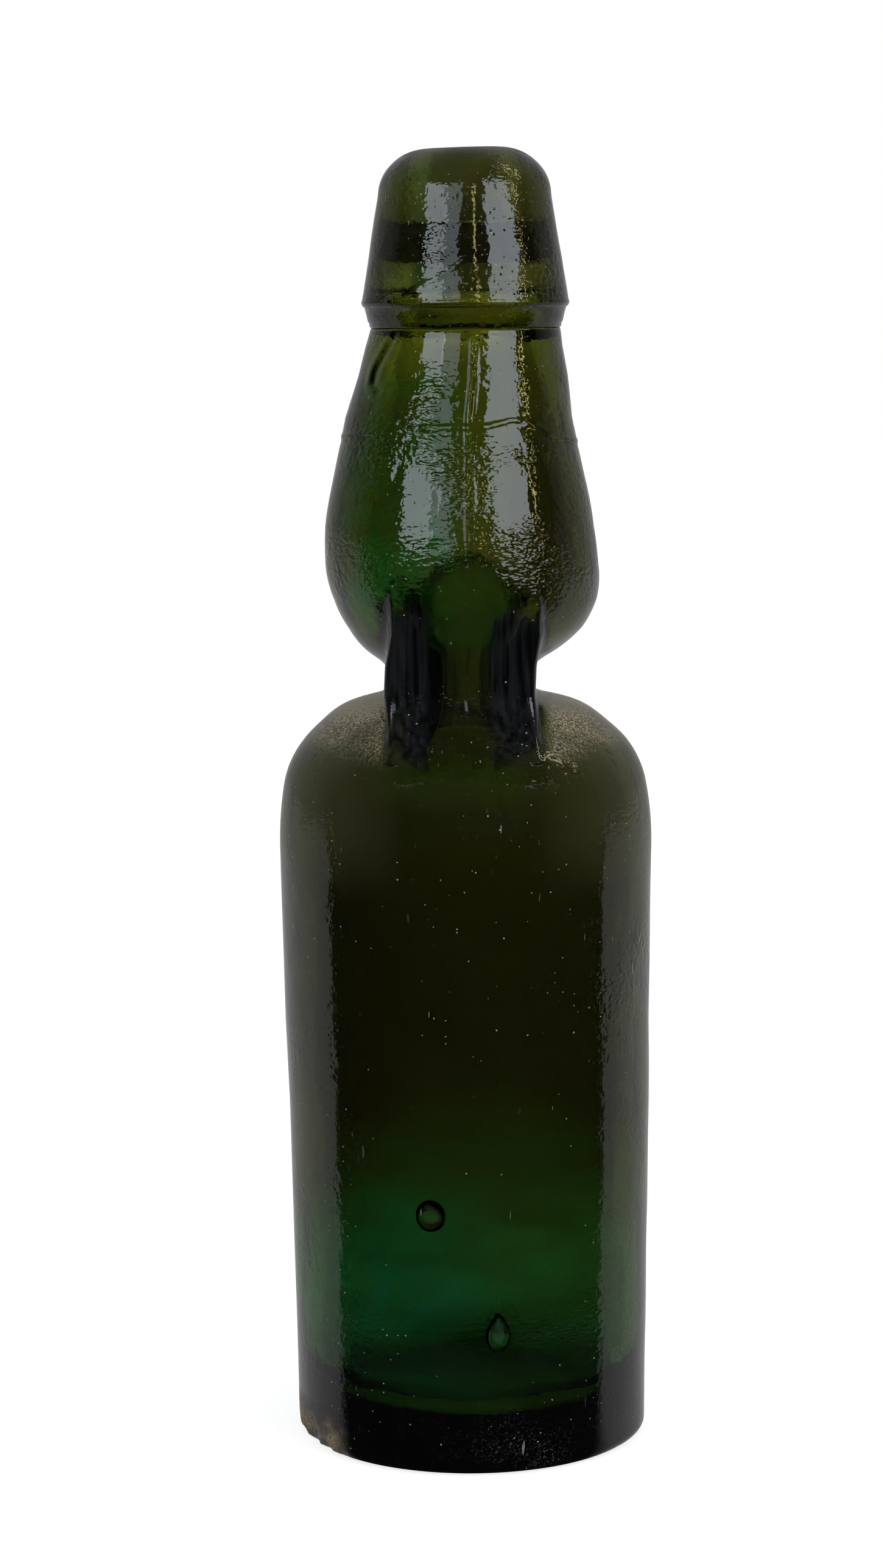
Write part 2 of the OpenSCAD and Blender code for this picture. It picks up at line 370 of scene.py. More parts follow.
for v in body_bm.verts:
    p = v.co / MM
    if v[row_layer] < OUTER_ROWS:
        high = skin(p) + seam_ridge(p)
        if p.z > MOULD_RING_FROM:
            high += mould_line(p) + lip_folds(p)
        if 124 < p.z < 134:
            high += FOOT_BEAD * hill(p.z - FOOT_BEAD_Z, 2.0) * clamped((v.normal.z - 0.6) * 4)
        fade = clamped((SKIRT_Z - p.z) / 3) * clamped(p.z / 3, 0.15)
        v.co += v.normal * high * fade * MM
        v.co.x += lean_at(p.z) * MM * fade
    elif p.z < SKIRT_Z - 2:
        high = 0.30 * noise.noise(p * 0.07) + 0.10 * noise.noise(p * 0.25)
        high += 0.10 * noise.noise(Vector((p.x * 0.3, p.y * 0.3, p.z * 0.04)))
        v.co += v.normal * high * MM

# %% [markdown]
# ## Chips at the heel
#
# Years in a crate have knocked shell-shaped chips out of the heel. A chip is a shallow sphere cut out of the
# edge, so each vertex inside a cutting sphere is pushed into the glass, about as far as the sphere reaches.

# %% Knock chips out of the heel
CHIPS = [((-31.0, -12.5, 1.6), 4.2), ((-28.6, -17.5, -0.4), 4.0), ((-32.8, -7.0, 0.2), 3.4),
         ((-25.0, -22.4, -1.2), 3.8), ((-32.2, -11.0, 6.4), 2.6), ((28.0, -17.5, -2.2), 3.7),
         ((24.0, -22.0, -2.6), 3.6)]
moved = 0
for centre, radius in CHIPS:
    middle = Vector(centre) * MM
    for v in body_bm.verts:
        d = (v.co - middle).length / MM
        if d < radius and v[row_layer] < OUTER_ROWS:
            inward = Vector((-v.co.x, -v.co.y, 0.25 * abs(v.co.x))).normalized()
            rough = 0.15 * noise.noise(v.co / MM * 1.3)
            v.co += inward * (radius - d) * (0.75 + rough) * MM
            v.co.z = max(v.co.z, 0.02 * MM)
            moved += 1
print("vertices moved by chips:", moved)

# %% [markdown]
# ## A film of dust, wear and painted sheen
#
# Old dust sits on the shoulder, and fine specks and scuffs sit all over. They are opaque, and glass can't be
# part opaque, so they lie on a film of their own. The same film carries a painted sheen on the neck, a
# painted reflection on the shoulder and a faint painted shade. It is a copy of the outer skin a few
# hundredths of a millimetre outside the glass, and its material is clear wherever there is no dirt and
# nothing painted.

# %% Lift a film off the outer skin
FILM_GAP = 0.04


def lift_film(bm, rows, low, high, name):
    """A film over the rows below a number, between two heights in millimetres."""
    film = bm.copy()
    row = film.verts.layers.int["row"]
    film.normal_update()
    spare = [v for v in film.verts if v[row] >= rows or not low < v.co.z / MM < high]
    bmesh.ops.delete(film, geom=spare, context="VERTS")
    for v in film.verts:
        v.co += v.normal * FILM_GAP * MM
    return finish_piece(film, name, "bottle")


body_bm.normal_update()
body_dust_and_sheen = lift_film(body_bm, OUTER_ROWS, 0.3, SKIRT_Z - 0.6, "body_dust_and_sheen")

# %% [markdown]
# ## Bubbles
#
# A bubble is air inside the glass, so its surface is a closed shell whose faces look into the bubble, away
# from the glass. It belongs to the same mesh, because light has to leave this glass and come back into
# it. Two large ones show in the lower front wall, and small seeds are scattered through the rest.

# %% Put bubbles into the wall
def add_bubble(bm, place, half_sizes, tip=0.0, rings=8):
    """An inward-facing ellipsoid at a place in millimetres. A tip above 0 draws its top out to a drop."""
    made = bmesh.ops.create_uvsphere(bm, u_segments=2 * rings, v_segments=rings, radius=1.0)["verts"]
    out = Vector((place[0], place[1], 0)).normalized()
    turn = Matrix((Vector((-out.y, out.x, 0)), out, Vector((0, 0, 1)))).transposed()
    for v in made:
        v.co.x *= half_sizes[0] * (1 - tip * max(0, v.co.z))
        v.co.y *= half_sizes[1]
        v.co.z *= half_sizes[2]
        v.co = (turn @ v.co + Vector(place)) * MM
    faces = {f for v in made for f in v.link_faces}
    bmesh.ops.reverse_faces(bm, faces=list(faces))


def on_wall(z, angle, depth):
    """A place inside the wall, depth millimetres under its outer skin."""
    r = float(outer_side(np.array([z]), angle)[0]) - depth
    return (r * math.cos(angle) + lean_at(z), r * math.sin(angle), z)


FRONT, SEEDS = -math.pi / 2, 70
bubble_bm = bmesh.new()
add_bubble(bubble_bm, on_wall(46.0, FRONT - 0.225, 2.3), (2.6, 1.6, 2.8), rings=14)
add_bubble(bubble_bm, on_wall(25.2, FRONT + 0.155, 2.3), (2.3, 1.6, 3.5), tip=0.45, rings=14)
random.seed(41)
for seed in range(SEEDS):
    low = random.random() < 0.6
    height = random.uniform(24, 104) if low else random.uniform(158, 190)
    size = random.choice((0.16, 0.2, 0.25, 0.35, 0.5))
    add_bubble(bubble_bm, on_wall(height, random.uniform(-math.pi, math.pi), random.uniform(1.4, 3.6)),
               (size, size * 0.8, size * random.uniform(1.0, 2.6)), rings=5)
bubble_mesh = bpy.data.meshes.new("bubbles")
bubble_bm.to_mesh(bubble_mesh)
bubble_bm.free()
wall_faces = len(body_bm.faces)
body_bm.from_mesh(bubble_mesh)
bpy.data.meshes.remove(bubble_mesh)
body_bm.faces.ensure_lookup_table()
for face in body_bm.faces[wall_faces:]:
    face.material_index = 1
print("bubbles: 2 large and %d seeds" % SEEDS)
glass_body = finish_piece(body_bm, "glass_body", "bottle")
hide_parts("bottle_body")

# %% [markdown]
# ## The lip
#
# The lip is a second gather of glass that is laid on the neck's end and squeezed with a lip tool. So it has a
# turned profile, but also a fold, a crease and an uneven rim. It laps over the neck's end by a twentieth of
# a millimetre: two glass pieces with a gap of air between them would turn that gap into a mirror.

# %% Lathe the lip and work its surface
LIP_RADIUS, LIP_Z, LIP_TOP_RADIUS, LIP_TOP_Z, LIP_CURVE = 18.1, 201.5, 15.0, 220.3, 8.3
MOUTH_RADIUS, MOUTH_EDGE, TOP_Z = 6.6, 0.8, 228.6
GROOVE_RADIUS, GROOVE_Z = 16.75, 198.6
RING_RADIUS, RING_HOLE, RING_LOW, RING_HIGH = 10.3, 6.3, 208.3, 215.0
LAP = 0.05
skirt = [(NECK_TOP_RADIUS - LAP, SKIRT_Z), (15.5, SKIRT_Z), (16.45, SKIRT_Z), (GROOVE_RADIUS, SKIRT_Z + 0.3),
         (GROOVE_RADIUS + 0.02, 198.2), (GROOVE_RADIUS + 0.28, GROOVE_Z), (17.2, 199.6)]
edge = arc((LIP_RADIUS - 1.0, LIP_Z + 0.35), 1.0, -62, 6, 6)
side = [(LIP_RADIUS + (LIP_TOP_RADIUS - LIP_RADIUS) * t, LIP_Z + (LIP_TOP_Z - LIP_Z) * t)
        for t in np.linspace(0.04, 0.97, 44)]
rim = arc((LIP_TOP_RADIUS - LIP_CURVE, LIP_TOP_Z), LIP_CURVE, 2, 86, 22)
mouth = arc((MOUTH_RADIUS + MOUTH_EDGE, TOP_Z - MOUTH_EDGE), MOUTH_EDGE, 80, 180, 6)
bore = [(MOUTH_RADIUS, z) for z in np.linspace(226.5, RING_HIGH + 0.5, 8)]
ring_room = [(MOUTH_RADIUS + 0.1, RING_HIGH + 0.1), (MOUTH_RADIUS + 0.5, RING_HIGH),
             (RING_RADIUS - 0.4, RING_HIGH), (RING_RADIUS, RING_HIGH - 0.4), (RING_RADIUS, 211.6),
             (RING_RADIUS, RING_LOW + 0.4), (RING_RADIUS - 0.2, RING_LOW)]
lap = [(PASSAGE_RADIUS + 0.2, RING_LOW), (PASSAGE_RADIUS, RING_LOW - 0.3), (PASSAGE_RADIUS, 206),
       (PASSAGE_RADIUS, NECK_TOP_Z + 0.2), (PASSAGE_RADIUS + 0.3, NECK_TOP_Z - LAP),
       (NECK_TOP_RADIUS - 0.5, NECK_TOP_Z - LAP), (NECK_TOP_RADIUS - LAP, NECK_TOP_Z - 0.5)]
outside = skirt + edge + side + rim
CREASE = [(-13.5, 202.2), (-8.5, 204.2), (-4.5, 206.2), (0.3, 209.3), (2.5, 210.0)]
RIM_Z, LEDGE_BELOW = 221, 200.5
LIP_COLUMNS, FLAT_ROWS = 300, 3
lip_bm, row_layer = spin_profile(outside + mouth + bore + ring_room + lap, LIP_COLUMNS, closed=True)
for v in lip_bm.verts:
    p = v.co / MM
    turn = math.atan2(p.y, p.x)
    if p.z > RIM_Z:
        uneven = 0.12 * noise.noise(Vector((math.cos(turn), math.sin(turn), 3)) * 1.2)
        v.co.z -= (0.40 + uneven - 0.15 * math.cos(turn)) * min(1, (p.z - RIM_Z) / 5) * MM * 0.8
    if not FLAT_ROWS <= v[row_layer] < len(outside) + 2:
        continue
    fade = min(1.0, (p.z - SKIRT_Z) / 2.0)
    high = 0.02 * noise.noise(p * 0.5) + 0.12 * noise.noise(p * 0.10 + Vector((5, 5, 5)))
    high += 0.03 * noise.noise(Vector((turn * 3, 2, p.z * 0.25)))
    if p.y < 0:
        d, along = distance_to_path(p, CREASE)
        high += 0.12 * hill(d, 0.32) * min(1.0, 4 * (1 - along) + 0.1)
    if p.z < LEDGE_BELOW:
        ledge = 198.9 + 0.5 * math.sin(turn * 2 + 0.6)
        high += 0.10 * hill(p.z - ledge, 0.35)
    v.co += v.normal * high * fade * MM
lip_bm.normal_update()
lip_grime = lift_film(lip_bm, len(outside) - 1, 199.5, 230, "lip_grime")
glass_lip = finish_piece(lip_bm, "glass_lip", "bottle")
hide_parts("lip_collar")

# %% [markdown]
# ## The rubber ring
#
# The ring is pressed into the lip's groove, so its back is tight against the glass and reads as a dark band
# through it. Its inner edge is round and a little worn where marbles have hit it.

# %% Lathe the ring and wear its inner edge
RING_BACK, RING_EDGE, RING_COLUMNS = RING_RADIUS + 0.02, 1.5, 128
ring_mid = (RING_LOW + RING_HIGH) / 2
ring_profile = [(RING_BACK, RING_LOW + 0.5), (RING_BACK, ring_mid), (RING_BACK, RING_HIGH - 0.5)]
ring_profile += arc((RING_RADIUS - 0.3, RING_HIGH - 0.3), 0.32, 20, 90, 3)
ring_profile += arc((RING_HOLE + RING_EDGE, RING_HIGH - RING_EDGE), RING_EDGE, 90, 180, 6)
ring_profile += [(RING_HOLE, ring_mid)]
ring_profile += arc((RING_HOLE + RING_EDGE, RING_LOW + RING_EDGE), RING_EDGE, 180, 270, 6)
ring_profile += arc((RING_RADIUS - 0.3, RING_LOW + 0.3), 0.32, 270, 340, 3)
ring_bm, row_layer = spin_profile(ring_profile, RING_COLUMNS, closed=True)
for v in ring_bm.verts:
    p = v.co / MM
    if math.hypot(p.x, p.y) < RING_RADIUS - 1:
        v.co += v.normal * (0.05 * noise.noise(p * 0.9) - 0.03) * MM
seal_ring = finish_piece(ring_bm, "seal_ring", "bottle")
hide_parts("rubber_ring")

# %% [markdown]
# ## The marble
#
# The marble is cut off a glass rod and rolled round, so it has a small ground mark, slight waves and two
# seeds. An icosphere has even faces and no poles, which suits a thing that is seen from any side.

# %% Roll a marble
marble_bm = bmesh.new()
bmesh.ops.create_icosphere(marble_bm, subdivisions=5, radius=MARBLE_RADIUS * MM)
mark, MARK_EDGE = Vector((0.5, -0.75, 0.43)).normalized(), 0.972
for v in marble_bm.verts:
    n = v.co.normalized()
    flat = max(0.0, n.dot(mark) - MARK_EDGE) / (1 - MARK_EDGE)
    dip = 0.16 * flat + 0.03 * flat * noise.noise(n * 30)
    v.co -= n * (dip + 0.03 * abs(noise.noise(n * 2.5)) + 0.01 * abs(noise.noise(n * 9))) * MM
for seed_at, size in ((Vector((2.5, -4.0, 1.0)), 0.5), (Vector((-0.7, -2.5, -1.0)), 0.35)):
    made = bmesh.ops.create_icosphere(marble_bm, subdivisions=2, radius=size * MM)["verts"]
    bmesh.ops.translate(marble_bm, verts=made, vec=seed_at * MM)
    bmesh.ops.reverse_faces(marble_bm, faces=list({f for v in made for f in v.link_faces}))
bmesh.ops.translate(marble_bm, verts=marble_bm.verts, vec=(0, 0, MARBLE_Z * MM))
glass_marble = finish_piece(marble_bm, "glass_marble", "stopper")
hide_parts("marble")

# %% [markdown]
# ## Helpers for materials
#
# Each finish is a few nodes on the Principled shader. One helper adds a node, sets the inputs that are plain
# values and links the others. Most finishes need masks, which are 1 where something shows and 0 where it
# doesn't, and a mask is a small sum on the surface's own coordinates. Short helpers for such sums keep each
# recipe readable. A socket's id_data is its node tree, so the helpers don't have to be told the tree.

# %% Add a node, start a material, start a group
def add_node(owner, kind, inputs=None, **settings):
    """Adds a node to a tree, or to a socket's tree. Each input is given as a plain value or as a link."""
    tree = owner.id_data
    node = tree.nodes.new("ShaderNode" + kind)
    for key, value in settings.items():
        setattr(node, key, value)
    for key, value in (inputs or {}).items():
        if isinstance(value, bpy.types.NodeSocket):
            tree.links.new(value, node.inputs[key])
        else:
            node.inputs[key].default_value = value
    return node


def start_material(name):
    material = bpy.data.materials.new(name)
    material.use_nodes = True
    tree = material.node_tree
    tree.nodes.clear()
    return material, tree, add_node(tree, "OutputMaterial"), add_node(tree, "TexCoord").outputs["Object"]


def start_group(name, numbers, result):
    """A node group with a Place input, some number inputs and one number as its result."""
    group = bpy.data.node_groups.new(name, "ShaderNodeTree")
    group.interface.new_socket(name="Place", in_out="INPUT", socket_type="NodeSocketVector")
    for number in numbers:
        group.interface.new_socket(name=number, in_out="INPUT", socket_type="NodeSocketFloat")
    group.interface.new_socket(name=result, in_out="OUTPUT", socket_type="NodeSocketFloat")
    given = group.nodes.new("NodeGroupInput").outputs
    return group, given, group.nodes.new("NodeGroupOutput").inputs[result]


def shade(output, kind, inputs, socket="Surface"):
    """A shader that feeds a socket of an output."""
    node = add_node(output, kind, inputs)
    output.id_data.links.new(node.outputs[0], output.inputs[socket])


# %% Colours
def ramp(factor, stops):
    """A colour ramp. A stop is a position and a colour, and one number stands for a grey."""
    node = add_node(factor, "ValToRGB", {"Fac": factor})
    elements = node.color_ramp.elements
    while len(elements) < len(stops):
        elements.new(0.5)
    for element, (at, colour) in zip(elements, stops):
        element.position = at
        element.color = (colour, colour, colour, 1) if isinstance(colour, float) else (*colour, 1)
    return node.outputs["Color"]


def blend_colour(mask, below, above, blend_type="MIX"):
    """The colour above, or its blend with the colour below, where the mask is 1. Each may be a link."""
    below, above = [(*colour, 1) if isinstance(colour, tuple) else colour for colour in (below, above)]
    return add_node(mask, "Mix", {0: mask, 6: below, 7: above}, data_type="RGBA",
                    blend_type=blend_type).outputs[2]


def tinted(colour, mask, tint):
    return blend_colour(mask, colour, tint, "MULTIPLY")


# %% Sums and masks
def calc(operation, first, *others):
    """A Math node on a link and some more terms, each a number or a link."""
    terms = dict(enumerate((first, *others)))
    return add_node(first, "Math", terms, operation=operation).outputs[0]


def times(first, *others):
    for other in others:
        first = calc("MULTIPLY", first, other)
    return first


def larger(first, *others):
    for other in others:
        first = calc("MAXIMUM", first, other)
    return first


def away_from(value, middle=0.0):
    return calc("ABSOLUTE", calc("SUBTRACT", value, middle))


def mapped(value, low, high, out_low=0.0, out_high=1.0):
    inputs = {"Value": value, "From Min": low, "From Max": high, "To Min": out_low, "To Max": out_high}
    return add_node(value, "MapRange", inputs).outputs[0]


def between(value, start, full, fading, gone):
    """Rises from 0 at start to 1 at full, and falls again from fading to gone."""
    return times(mapped(value, start, full), mapped(value, gone, fading))


# %% Coordinates and patterns
def axes_of(vector):
    return add_node(vector, "SeparateXYZ", {"Vector": vector}).outputs[:3]


def stretched(place, scale, turn=(0, 0, 0)):
    inputs = {"Vector": place, "Scale": scale, "Rotation": turn}
    return add_node(place, "Mapping", inputs).outputs[0]


def clouds(place, scale, detail=2.0, roughness=0.5, distortion=0.0):
    """Soft noise, with the scale in cells per metre."""
    inputs = {"Vector": place, "Scale": scale, "Detail": detail, "Roughness": roughness,
              "Distortion": distortion}
    return add_node(place, "TexNoise", inputs).outputs["Fac"]


def bumped(height, strength, distance):
    """A normal from a height."""
    inputs = {"Height": height, "Strength": strength, "Distance": distance}
    return add_node(height, "Bump", inputs).outputs["Normal"]


def near_spots(place, spots):
    """1 near any of some places, fading to 0 at its reach. A spot is x, y, z and reach in millimetres."""
    masks = []
    for *middle, reach in spots:
        away = add_node(place, "VectorMath", {0: place, 1: Vector(middle) * MM}, operation="DISTANCE")
        masks.append(mapped(away.outputs["Value"], reach * MM, 0.55 * reach * MM))
    return larger(*masks)


# %% [markdown]
# ## Ripples as a shared group
#
# The body, the lip and the marble all have the fine skin of old glass, which is too small for the mesh. It is
# a height pattern: soft waves, drawn-out streaks and pits. The group is built once, and each glass sets
# its own amounts. It gives a height, which each material's Bump node turns into a normal.

# %% Build the ripple group
ripple_group, given, ripple_height = start_group("glass_ripple", ("Waves", "Pits"), "Height")
soft = clouds(given["Place"], 900.0, 1.0, roughness=0.4)
streak = clouds(stretched(given["Place"], (1, 1, 2.2)), 800.0, 1.0)
pit = add_node(ripple_group, "TexVoronoi", {"Vector": given["Place"], "Scale": 900.0})
deep = mapped(pit.outputs["Distance"], 0.0, 0.22, -1.0, 0.0)
rougher = mapped(clouds(given["Place"], 75.0), 0.42, 0.60, 0.35, 1.7)
waves = times(calc("ADD", soft, streak), given["Waves"], rougher)
pits = times(deep, given["Pits"])
ripple_group.links.new(calc("ADD", waves, pits), ripple_height)
print("ripple group nodes:", len(ripple_group.nodes))


def rippled(place, waves, pits):
    """A normal with the ripple group's waves and pits."""
    inputs = {"Place": place, "Waves": waves, "Pits": pits}
    ripple = add_node(place, "Group", inputs, node_tree=ripple_group)
    return bumped(ripple.outputs["Height"], 1.0, 0.001)


def glass_shaders(output, inputs, absorb, density):
    """Glass that absorbs: a clear surface round a volume."""
    shade(output, "BsdfPrincipled", {"Transmission Weight": 1.0, "IOR": 1.52, **inputs})
    shade(output, "VolumeAbsorption", {"Color": (*absorb, 1), "Density": density}, "Volume")


# %% [markdown]
# ## Bottle glass
#
# Thick glass is darker than thin glass, and only an absorbing volume does that: it makes the base, the neck
# and every edge go black by themselves. Beside the throat, painted shade in the colour darkens the neck
# further. The glass was badly mixed, so its colour also changes: olive in the chamber, nearly black in the
# middle, and a bright green swirl near the base. Base Color tints light at each surface that it crosses, so
# it carries these zones, the painted shade and a painted arc of light at the neck's foot. They are masks on
# the glass's own coordinates in metres, so each patch stays on its place.

# %% Green patches, a darker right side, a painted arc of light and swirls
def chamber_patches(place, colour):
    """Green cords at the chamber's left, a darker tint at its right, and a painted arc of light at the neck's
    foot.
    """
    x, _, height = axes_of(place)
    patch = clouds(place, 52.0, distortion=1.1)
    off_the_skirt = larger(mapped(height, 0.193, 0.187), mapped(height, 0.203, 0.207))
    left = times(mapped(x, 0.001, -0.007), mapped(height, 0.138, 0.150), off_the_skirt)
    colour = tinted(colour, times(left, mapped(patch, 0.42, 0.52)), (0.62, 1.20, 1.45))
    low_left = times(near_spots(place, [(-12, -20, 156, 13)]), mapped(patch, 0.36, 0.50))
    colour = tinted(colour, low_left, (0.62, 1.35, 1.45))
    right = times(mapped(x, 0.006, 0.013), between(height, 0.140, 0.148, 0.178, 0.198))
    colour = tinted(colour, right, (0.50, 0.45, 0.42))
    # Painted light: a brighter green arc where light shows through the shoulder under the neck's foot.
    foot_arc = times(between(height, 0.1165, 0.1192, 0.1214, 0.1230),
                     mapped(away_from(x, -0.003), 0.015, 0.009))
    return tinted(colour, foot_arc, (1.15, 1.60, 1.0))


def low_swirls(place, colour):
    """Teal patches low on the left, and slanting brown cords through the green zone."""
    x, _, height = axes_of(place)
    patch = clouds(place, 52.0, distortion=1.1)
    teal = times(mapped(patch, 0.36, 0.50), mapped(height, 0.052, 0.036),
                 mapped(x, 0.006, -0.010, 0.15, 1.0))
    colour = tinted(colour, teal, (0.55, 1.12, 1.80))
    slanting = stretched(place, (1, 1, 4), (0.0, 0.6, 0.0))
    cord = clouds(slanting, 42.0, 3.0, distortion=0.6)
    cords = times(mapped(cord, 0.50, 0.62), mapped(height, 0.075, 0.055))
    return tinted(colour, cords, (0.98, 0.76, 0.62))


# %% Painted shade at both sides of the throat
SLOT_MIDDLE = -0.0014


def neck_shade(place, colour):
    """Paints near-black shade beside the throat down to a curve, and leaves one clear streak."""
    x, _, height = axes_of(place)
    side = away_from(x, SLOT_MIDDLE)
    strand = clouds(stretched(place, (1, 1, 0.08)), 420.0, 3.0)
    edge = calc("ADD", side, mapped(strand, 0.3, 0.7, -0.0012, 0.0012))
    panel = mapped(edge, 0.0048, 0.0062, 0.0, 0.93)
    middle = times(mapped(strand, 0.35, 0.65, 0.05, 0.42), mapped(height, 0.146, 0.138, 0.25, 1.0))
    foot = calc("MULTIPLY_ADD", times(side, side), 37.0, 0.1208)
    slanted_top = calc("MULTIPLY_ADD", x, 0.13, height)
    zone = times(mapped(calc("SUBTRACT", height, foot), 0.0, 0.0012),
                 mapped(slanted_top, 0.1505, 0.1485), mapped(side, 0.0146, 0.0138))
    streak = times(mapped(away_from(x, -0.0056), 0.0011, 0.0006),
                   between(height, 0.1345, 0.137, 0.1455, 0.1475))
    dark = times(zone, larger(panel, middle), mapped(streak, 0.0, 1.0, 1.0, 0.0))
    # Painted shade: the glass's colour goes near black over the dark mask.
    colour = blend_colour(dark, colour, (0.02, 0.022, 0.02))
    return blend_colour(streak, colour, (0.60, 0.95, 0.45))


# %% Bottle glass with its colour zones
RAMP_TOP = 0.23


def bottle_glass(name, absorb, density, zones, waves, pits, haze, spots, neck=False, dull_bore=False):
    """Old glass. Zones, waves and haze are ramps over the height, and spots have deeper ripples."""
    material, tree, output, place = start_material(name)
    height = axes_of(place)[2]
    swirl = clouds(stretched(place, (1, 1, 1.5), (0.2, 0.55, 0)), 24.0, 3.0, distortion=1.6)
    shifted = calc("ADD", height, mapped(swirl, 0.3, 0.7, -0.007, 0.007))
    colour = ramp(mapped(shifted, 0.0, RAMP_TOP), zones)
    colour = low_swirls(place, chamber_patches(place, colour))
    # The body's glass carries painted shade beside the throat.
    if neck:
        colour = neck_shade(place, colour)
    level = mapped(height, 0.0, RAMP_TOP)
    amount = times(ramp(level, waves), mapped(near_spots(place, spots), 0.0, 1.0, 1.0, 2.6))
    smear = mapped(clouds(place, 120.0, 3.0), 0.3, 0.7, 0.6, 1.4)
    rough = times(ramp(level, haze), smear)
    if dull_bore:
        flat_place = stretched(place, (1, 1, 0))
        radius = add_node(tree, "VectorMath", {0: flat_place}, operation="LENGTH")
        rough = calc("ADD", rough, mapped(radius.outputs["Value"], 0.0118, 0.0108, 0.0, 0.30))
    normal = rippled(place, amount, pits)
    glass_shaders(output, {"Base Color": colour, "Metallic": 0.0, "Roughness": rough, "Normal": normal},
                  absorb, density)
    return material


# %% The glass of the body, from the base up to the lip
BODY_ZONES = [(0.0, (0.32, 0.66, 0.58)), (0.010, (0.24, 0.46, 0.40)), (0.02, (0.15, 0.26, 0.22)),
              (0.06, (0.17, 0.34, 0.30)), (0.095, (0.21, 0.44, 0.38)), (0.135, (0.25, 0.51, 0.40)),
              (0.17, (0.235, 0.41, 0.29)), (0.20, (0.21, 0.28, 0.18)), (0.235, (0.19, 0.185, 0.125)),
              (0.28, (0.195, 0.17, 0.11)), (0.42, (0.205, 0.18, 0.12)), (0.49, (0.235, 0.215, 0.11)),
              (0.53, (0.30, 0.29, 0.13)), (0.59, (0.31, 0.31, 0.16)), (0.63, (0.40, 0.37, 0.26)),
              (0.66, (0.50, 0.46, 0.36)), (0.70, (0.46, 0.44, 0.28)), (0.74, (0.43, 0.42, 0.22)),
              (0.82, (0.45, 0.43, 0.17)), (0.848, (0.68, 0.63, 0.30)), (0.857, (1.0, 0.97, 0.75))]
BODY_WAVES = [(0.0, 0.014), (0.10, 0.03), (0.45, 0.03), (0.50, 0.045), (0.545, 0.035), (0.56, 0.012),
              (0.63, 0.012), (0.67, 0.065), (0.77, 0.065), (0.81, 0.045), (0.9, 0.04)]
BODY_HAZE = [(0.0, 0.15), (0.06, 0.03), (0.12, 0.005), (0.45, 0.005), (0.50, 0.03), (0.61, 0.03),
             (0.66, 0.02), (0.85, 0.02)]
BODY_SPOTS = [(-9, -22, 162, 14), (10, -22, 156, 12), (-9, -18, 176, 12), (-9, -16, 186, 8),
              (12, -16, 176, 7), (30, -12, 82, 18), (15, -25, 122, 8)]
body_glass = bottle_glass("old_bottle_glass", (0.50, 0.56, 0.20), 400, BODY_ZONES, BODY_WAVES, 0.03,
                          BODY_HAZE, BODY_SPOTS, neck=True)
glass_body.data.materials.append(body_glass)

# %% The glass of the lip
LIP_ZONES = [(0.0, (1.0, 0.97, 0.75)), (0.864, (1.0, 0.97, 0.75)), (0.872, (0.75, 0.72, 0.42)),
             (0.879, (0.33, 0.33, 0.15)), (0.90, (0.25, 0.25, 0.15)), (0.945, (0.32, 0.31, 0.24)),
             (0.97, (0.46, 0.44, 0.36)), (1.0, (0.62, 0.60, 0.48))]
LIP_WAVES = [(0.0, 0.035), (1.0, 0.035)]
LIP_HAZE = [(0.0, 0.04), (1.0, 0.04)]
LIP_SPOTS = [(11, -12, 209, 9), (1, -12, 224, 9), (-9, -10, 222, 7), (-5, -16, 212, 5)]
lip_glass = bottle_glass("old_lip_glass", (0.58, 0.60, 0.30), 230, LIP_ZONES, LIP_WAVES, 0.06,
                         LIP_HAZE, LIP_SPOTS, dull_bore=True)
glass_lip.data.materials.append(lip_glass)

# %% [markdown]
# ## The wall of a bubble
#
# A bubble's wall has almost no colour of its own and no volume, because the glass round it already has both.
# Seen edge on it would mirror the dark glass beside it, so its colour is painted dark towards its outline,
# where Layer Weight is high: a painted reflection.

# %% Bubble wall
bubble_wall, tree, output, place = start_material("bubble_wall")
clear = ramp(clouds(place, 900.0), [(0.3, (0.90, 0.96, 0.93)), (0.7, (1.0, 1.0, 1.0))])
# Painted reflection: the wall's colour goes dark where it is seen edge on.
rim = add_node(tree, "LayerWeight", {"Blend": 0.5}).outputs["Facing"]
clear = blend_colour(mapped(rim, 0.26, 0.42), clear, (0.03, 0.05, 0.04))
shade(output, "BsdfPrincipled", {"Base Color": clear, "Roughness": 0.0, "Transmission Weight": 1.0,
                                 "IOR": 1.52})
glass_body.data.materials.append(bubble_wall)

# %% [markdown]
# ## Dust, specks and painted sheen
#
# The film's colour and opacity come from masks that are laid over each other: brown dust where the shoulder
# faces up, a painted bluish sheen in streaks on the dark neck, a painted olive reflection on the sides of the
# shoulder, a faint dark film of painted shade on the shoulder's slope, small pale specks in patches, short
# scratches, scuffs where the bottle has slid on its heel, and a bare brown scar among the chips. A group
# makes the specks, because there are small ones and big ones.

# %% A group that scatters specks
speck_group, given, speck_mask = start_group("specks", ("Per Metre", "Size", "Share"), "Mask")
cells = add_node(speck_group, "TexVoronoi", {"Vector": given["Place"], "Scale": given["Per Metre"]}).outputs
odds = add_node(speck_group, "SeparateColor", {"Color": cells["Color"]}).outputs
spread = mapped(clouds(given["Place"], 60.0, 3.0), 0.47, 0.68, 0.5, 4.0)
chosen = calc("LESS_THAN", odds["Red"], times(given["Share"], spread))
near = calc("LESS_THAN", cells["Distance"], times(odds["Green"], given["Size"]))
speck_group.links.new(times(chosen, near), speck_mask)


def scatter(place, per_metre, size, share):
    inputs = {"Place": place, "Per Metre": per_metre, "Size": size, "Share": share}
    return add_node(place, "Group", inputs, node_tree=speck_group).outputs["Mask"]
